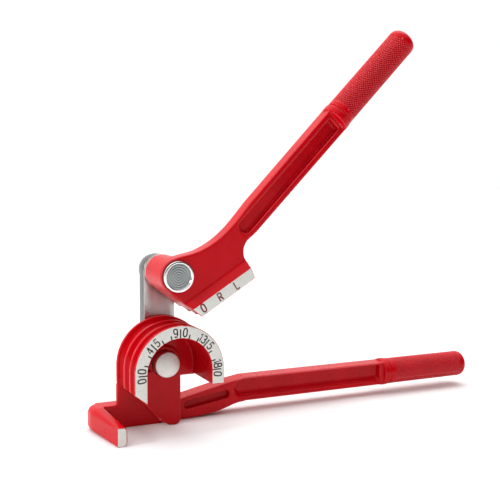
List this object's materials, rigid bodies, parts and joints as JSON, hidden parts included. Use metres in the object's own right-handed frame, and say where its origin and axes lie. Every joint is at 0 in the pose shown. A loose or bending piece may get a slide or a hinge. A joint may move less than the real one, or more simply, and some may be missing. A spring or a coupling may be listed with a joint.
{
  "type": "manual tube bender",
  "caption": "Hand-held lever tube bender: a half-round grooved former with an angle scale, a hook for the tube, and a grooved shoe on a second handle that swings around it on a link.",
  "frame": {"origin": "flat underside of the base, straight below the former's pivot axis, in the middle of the base plate's thickness", "axes": "+X along the lower handle towards its grip, +Y along the pivot axes from the scale face to the link bar, +Z from the base up to the shoe"},
  "size_m": [0.2541, 0.0476, 0.2222],
  "materials": {
    "red_paint_former": "glossy red paint on cast aluminium, bare light faces where the scale is",
    "red_paint_shoe": "glossy red paint on cast aluminium, bare light strip along the shoe",
    "red_grip": "glossy red over fine diamond knurling",
    "link_steel": "brushed, zinc plated",
    "machined_steel": "machined light grey",
    "zinc_steel": "zinc plated",
    "spring_steel": "dark oiled",
    "chrome_pin": "turned rings in a shallow recess, bright rim",
    "bronze": "sintered bronze"
  },
  "bodies": {
    "former_handle": {"former_casting": "red_paint_former", "former_grip": "red_grip", "former_grip_stud": "zinc_steel", "centre_pin": "machined_steel", "centre_spacer": "zinc_steel", "centre_rear_washer": "zinc_steel", "centre_clip": "spring_steel"},
    "link": {"link_bar": "link_steel", "link_bush": "bronze", "shoe_pin": "chrome_pin", "shoe_spacer": "zinc_steel", "shoe_rear_washer": "zinc_steel", "shoe_clip": "spring_steel"},
    "shoe_handle": {"shoe_casting": "red_paint_shoe", "shoe_bush": "bronze", "shoe_grip": "red_grip", "shoe_grip_stud": "zinc_steel"}
  },
  "joints": [
    {"name": "link_swing", "type": "hinge", "parent": "former_handle", "child": "link", "pos_m": [0, 0, 0.0351], "axis": [0, 1, 0], "range_deg": [-90, 90]},
    {"name": "handle_swing", "type": "hinge", "parent": "link", "child": "shoe_handle", "pos_m": [0, 0, 0.0854], "axis": [0, 1, 0], "range_deg": [-120, 31.5]}
  ]
}
